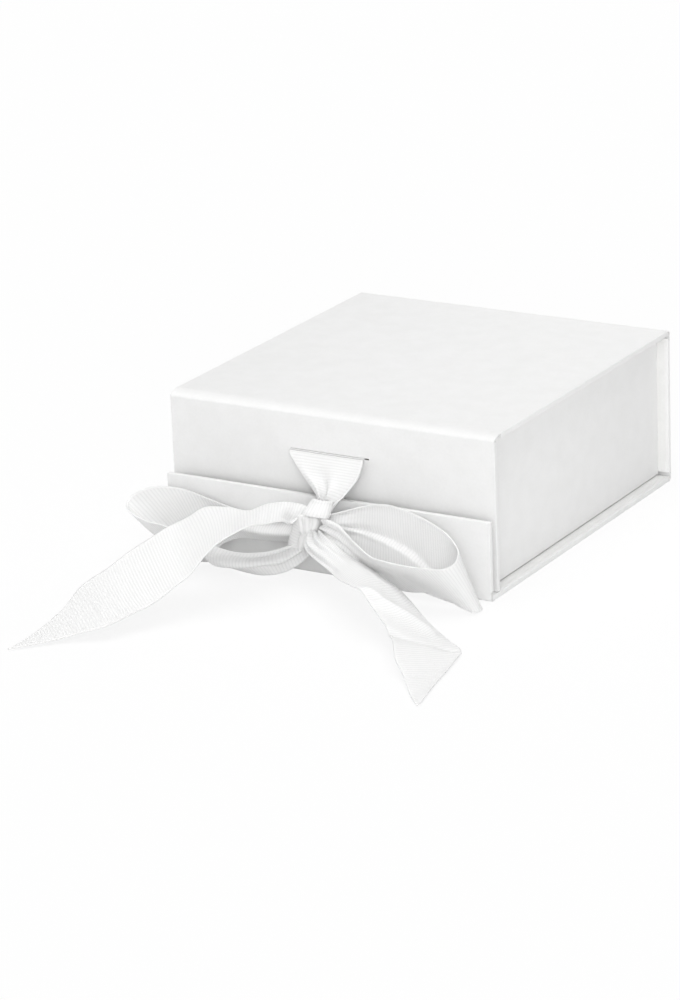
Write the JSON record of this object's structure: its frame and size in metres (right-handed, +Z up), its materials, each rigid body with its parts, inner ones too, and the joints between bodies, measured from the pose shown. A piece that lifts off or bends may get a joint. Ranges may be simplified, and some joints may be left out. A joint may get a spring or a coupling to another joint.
{
  "type": "gift box",
  "caption": "Collapsible paper-covered board gift box with a book-style cover, a magnetic flap and a tied ribbon, lying on its cover.",
  "frame": {"origin": "middle of the cover's underside, on the surface that the box lies on", "axes": "+X along the front, to the right as seen from the front; +Y from the flap to the spine; +Z up, from the cover to the closed face of the tray"},
  "size_m": [0.1872, 0.2869, 0.067],
  "materials": {
    "white_paper": "matt coated white covering paper with a faint fibre texture",
    "liner_paper": "matt white lining paper",
    "grey_board": "uncoated recycled grey board, pressed wood pulp",
    "tape": "matt white corner tape",
    "magnet": "nickel-plated neodymium disc",
    "ribbon": "white grosgrain ribbon with fine cross ribs"
  },
  "bodies": {
    "cover": {"cover_board": "grey_board", "cover_wrap": "white_paper", "cover_liner": "liner_paper", "rear_hinge": "white_paper", "front_hinge": "white_paper"},
    "tray": {"floor_board": "grey_board", "front_board": "grey_board", "spine_board": "grey_board", "left_side_board": "grey_board", "right_side_board": "grey_board", "tray_wrap": "white_paper", "left_side_wrap": "white_paper", "right_side_wrap": "white_paper", "floor_liner": "liner_paper", "front_liner": "liner_paper", "spine_liner": "liner_paper", "corner_tapes": "tape", "wall_magnets": "magnet", "ribbon_inner_end": "ribbon", "ribbon_patch": "liner_paper"},
    "flap": {"flap_board": "grey_board", "flap_wrap": "white_paper", "flap_liner": "liner_paper", "flap_magnets": "magnet"},
    "bow": {"ribbon_neck": "ribbon", "ribbon_knot": "ribbon", "ribbon_left_loop": "ribbon", "ribbon_right_loop": "ribbon", "ribbon_left_tail": "ribbon", "ribbon_right_tail": "ribbon"}
  },
  "joints": [
    {"name": "tray_lift", "type": "hinge", "parent": "cover", "child": "tray", "pos_m": [0, 0.08088, 0.00035], "axis": [-1, 0, 0], "range_deg": [0, 90], "deforming": ["rear_hinge"]},
    {"name": "flap_fold", "type": "hinge", "parent": "cover", "child": "flap", "pos_m": [0, -0.08088, 0.00035], "axis": [1, 0, 0], "range_deg": [0, 90], "deforming": ["front_hinge"]},
    {"name": "bow_lift", "type": "hinge", "parent": "tray", "child": "bow", "pos_m": [0, -0.07677, 0.0499], "axis": [-1, 0, 0], "range_deg": [0, 120]}
  ],
  "couplings": [
    {"joint": "bow_lift", "follows": "flap_fold", "ratio": 1.3333}
  ]
}
